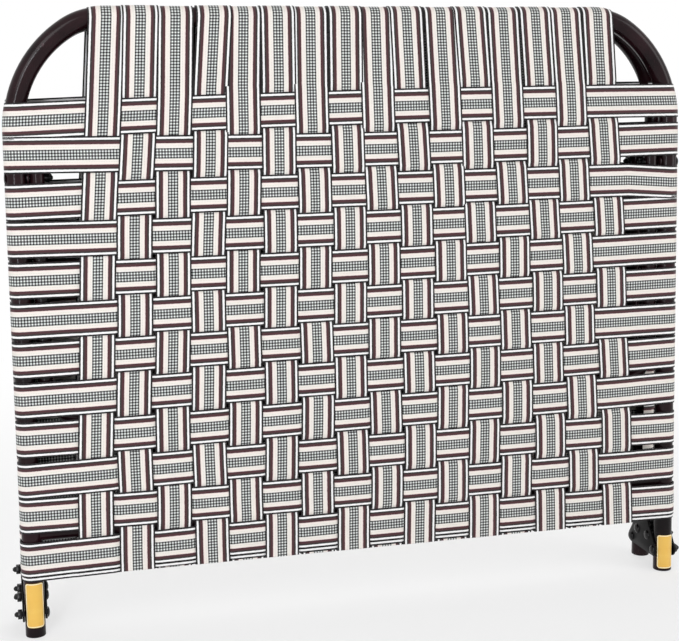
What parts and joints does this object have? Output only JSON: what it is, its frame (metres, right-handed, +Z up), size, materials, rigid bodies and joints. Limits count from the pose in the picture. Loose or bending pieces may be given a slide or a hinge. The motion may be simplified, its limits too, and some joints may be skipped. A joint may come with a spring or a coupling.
{
  "type": "folding charpai",
  "caption": "Folding woven bed of two U-shaped steel tube halves with striped tape webbing, link hinges and folding U legs, shown folded.",
  "frame": {"origin": "middle of the footprint on the floor, midway between the two folded halves", "axes": "+X along the bed's width, +Y from the front half to the rear half, +Z up from the rail ends to the head tubes"},
  "size_m": [1.0942, 0.1102, 0.9322],
  "materials": {
    "frame_paint": "gloss dark brown enamel on steel tube",
    "hinge_steel": "black enamel on flat steel plate, worn at the edges",
    "fastener_steel": "blackened steel bolts and nuts",
    "black_plastic": "moulded black plastic",
    "tape_webbing": "50 mm woven polypropylene tape, striped cream, maroon, white and black with a checked middle",
    "amber_label": "glossy plain amber sticker with a pale rim"
  },
  "bodies": {
    "hinge": {"fold_webbing": "tape_webbing", "left_inner_hinge_plate": "hinge_steel", "left_outer_hinge_plate": "hinge_steel", "left_front_pivot_bolt": "fastener_steel", "left_front_pivot_nut": "fastener_steel", "left_rear_pivot_bolt": "fastener_steel", "left_rear_pivot_nut": "fastener_steel", "left_front_stop_bolt": "fastener_steel", "left_front_stop_nut": "fastener_steel", "left_rear_stop_bolt": "fastener_steel", "left_rear_stop_nut": "fastener_steel", "left_top_bolt": "fastener_steel", "left_top_nut": "fastener_steel", "right_inner_hinge_plate": "hinge_steel", "right_outer_hinge_plate": "hinge_steel", "right_front_pivot_bolt": "fastener_steel", "right_front_pivot_nut": "fastener_steel", "right_rear_pivot_bolt": "fastener_steel", "right_rear_pivot_nut": "fastener_steel", "right_front_stop_bolt": "fastener_steel", "right_front_stop_nut": "fastener_steel", "right_rear_stop_bolt": "fastener_steel", "right_rear_stop_nut": "fastener_steel", "right_top_bolt": "fastener_steel", "right_top_nut": "fastener_steel"},
    "front_half": {"front_frame_tube": "frame_paint", "front_cross_bar": "frame_paint", "front_webbing": "tape_webbing", "front_left_end_cap": "black_plastic", "front_left_leg_bracket": "frame_paint", "front_left_leg_bolt": "fastener_steel", "front_left_leg_bolt_nut": "fastener_steel", "front_right_end_cap": "black_plastic", "front_right_leg_bracket": "frame_paint", "front_right_leg_bolt": "fastener_steel", "front_right_leg_bolt_nut": "fastener_steel"},
    "front_legs": {"front_leg_tube": "frame_paint", "front_left_leg_shoe": "black_plastic", "front_right_leg_shoe": "black_plastic"},
    "rear_half": {"rear_frame_tube": "frame_paint", "rear_cross_bar": "frame_paint", "rear_webbing": "tape_webbing", "rear_left_end_cap": "black_plastic", "rear_left_leg_bracket": "frame_paint", "rear_left_leg_bolt": "fastener_steel", "rear_left_leg_bolt_nut": "fastener_steel", "rear_right_end_cap": "black_plastic", "rear_right_leg_bracket": "frame_paint", "rear_right_leg_bolt": "fastener_steel", "rear_right_leg_bolt_nut": "fastener_steel"},
    "rear_legs": {"rear_leg_tube": "frame_paint", "rear_left_leg_shoe": "black_plastic", "rear_right_leg_shoe": "black_plastic"}
  },
  "joints": [
    {"name": "front_fold", "type": "hinge", "parent": "hinge", "child": "front_half", "pos_m": [0, -0.038, 0.03431], "axis": [1, 0, 0], "range_deg": [0, 91.2], "deforming": ["fold_webbing"]},
    {"name": "rear_fold", "type": "hinge", "parent": "hinge", "child": "rear_half", "pos_m": [0, 0.038, 0.03431], "axis": [1, 0, 0], "range_deg": [-91.2, 0]},
    {"name": "front_leg_swing", "type": "hinge", "parent": "front_half", "child": "front_legs", "pos_m": [0, -0.02436, 0.68548], "axis": [1, 0, 0], "range_deg": [0, 90]},
    {"name": "rear_leg_swing", "type": "hinge", "parent": "rear_half", "child": "rear_legs", "pos_m": [0, 0.02436, 0.68548], "axis": [1, 0, 0], "range_deg": [-90, 0]}
  ],
  "couplings": [
    {"joint": "rear_fold", "follows": "front_fold", "ratio": -1},
    {"joint": "front_leg_swing", "follows": "front_fold", "ratio": 0.9868},
    {"joint": "rear_leg_swing", "follows": "front_fold", "ratio": -0.9868}
  ]
}
